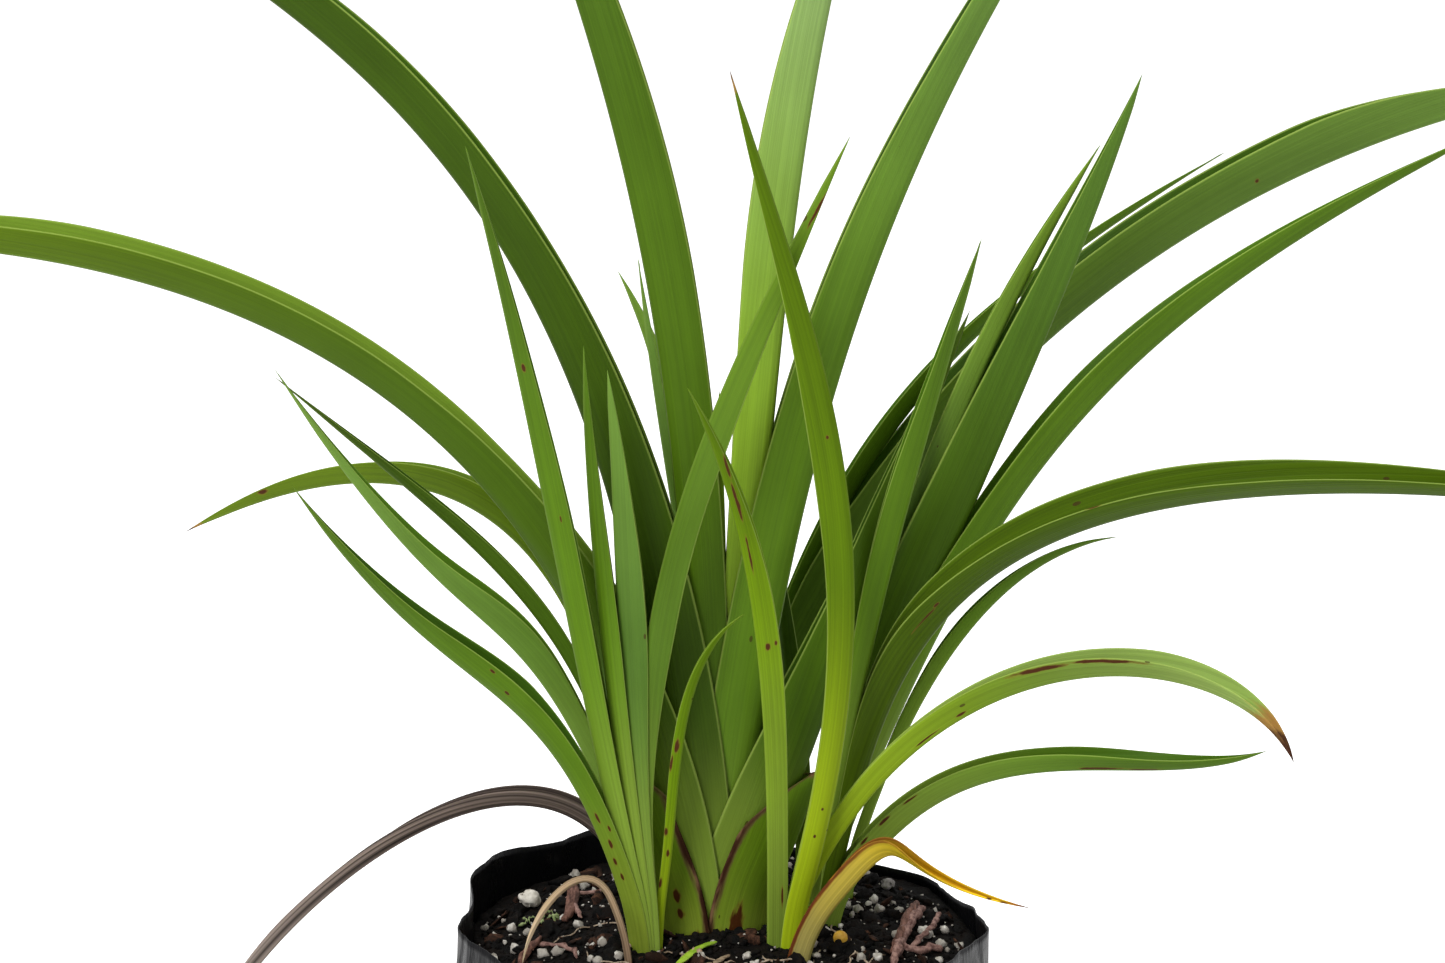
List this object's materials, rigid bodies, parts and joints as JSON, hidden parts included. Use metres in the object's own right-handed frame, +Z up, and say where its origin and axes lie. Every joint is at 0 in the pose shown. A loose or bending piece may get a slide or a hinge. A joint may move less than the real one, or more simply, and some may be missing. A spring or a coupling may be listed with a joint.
{
  "type": "potted new zealand flax",
  "caption": "Young New Zealand flax, a clump of folded sword-shaped green leaves in fans, standing in a black planter bag filled with potting mix.",
  "frame": {"origin": "centre of the planter bag's flat base", "axes": "+Z up; the pictured side faces -Y, with +X to its right"},
  "size_m": [0.5907, 0.2068, 0.5607],
  "materials": {
    "black_film": "thin creased black polythene film with a soft sheen",
    "potting_mix": "rough damp black bark mix with pale pumice grains",
    "rhizome": "pale fibrous rootstock",
    "leaf_green": "smooth satin leaf with fine veins along it",
    "leaf_dark": "smooth satin dark green leaf with fine veins along it",
    "leaf_glaucous": "leaf with a pale waxy bloom",
    "leaf_lime": "smooth yellow-green leaf with darker stripes along it",
    "leaf_yellow": "dying yellow leaf with brown specks",
    "leaf_dead_grey": "dry shrivelled grey-brown leaf",
    "leaf_tan": "dry tan leaf",
    "bark": "reddish-brown bark",
    "pale_stone": "white pumice stone",
    "grey_stone": "grey stone",
    "prill": "yellow coated fertiliser prill"
  },
  "bodies": {
    "root": {"planter_bag": "black_film", "potting_mix": "potting_mix", "crown_main": "rhizome", "crown_left_front": "rhizome", "crown_left_back": "rhizome", "crown_right_front": "rhizome", "crown_right_back": "rhizome", "crown_low_right": "rhizome", "crown_far_right": "rhizome", "crown_back": "rhizome", "crown_little_back": "rhizome", "crown_little_left": "rhizome", "crown_little_right": "rhizome", "crown_yellow": "rhizome", "crown_dead": "rhizome", "heart_leaf": "leaf_lime", "centre_leaf": "leaf_green", "upright_left_leaf": "leaf_dark", "upright_right_leaf": "leaf_glaucous", "back_left_arch": "leaf_dark", "dark_right_leaf": "leaf_dark", "far_left_arch": "leaf_dark", "right_sheath": "leaf_lime", "left_sheath": "leaf_lime", "small_inner_leaf": "leaf_lime", "crossing_leaf": "leaf_glaucous", "narrow_left_leaf": "leaf_green", "low_left_leaf": "leaf_green", "grey_dead_leaf": "leaf_dead_grey", "upright_pair_front": "leaf_glaucous", "upright_pair_back": "leaf_green", "drooping_left_leaf": "leaf_lime", "thin_left_leaf": "leaf_dark", "glaucous_left_leaf": "leaf_glaucous", "yellow_green_leaf": "leaf_lime", "lime_front_leaf": "leaf_lime", "pointed_leaf": "leaf_green", "striped_right_arch": "leaf_lime", "light_right_leaf": "leaf_green", "hidden_back_leaf": "leaf_dark", "large_pointed_leaf": "leaf_dark", "right_arch": "leaf_green", "brown_tipped_leaf": "leaf_lime", "lowest_right_leaf": "leaf_green", "thin_back_leaf": "leaf_glaucous", "far_right_arch": "leaf_dark", "small_back_leaf": "leaf_green", "little_back_leaf": "leaf_green", "low_back_leaf": "leaf_green", "yellow_leaf": "leaf_yellow", "tan_dead_leaf": "leaf_tan", "bark_strip_left": "bark", "bark_strip_left_small": "bark", "bark_strip_right": "bark", "bark_chip_right": "bark", "dry_leaf_strip": "leaf_tan", "green_leaf_scrap": "leaf_green", "white_stone": "pale_stone", "grey_stone": "grey_stone", "fertiliser_prill": "prill"}
  },
  "joints": []
}
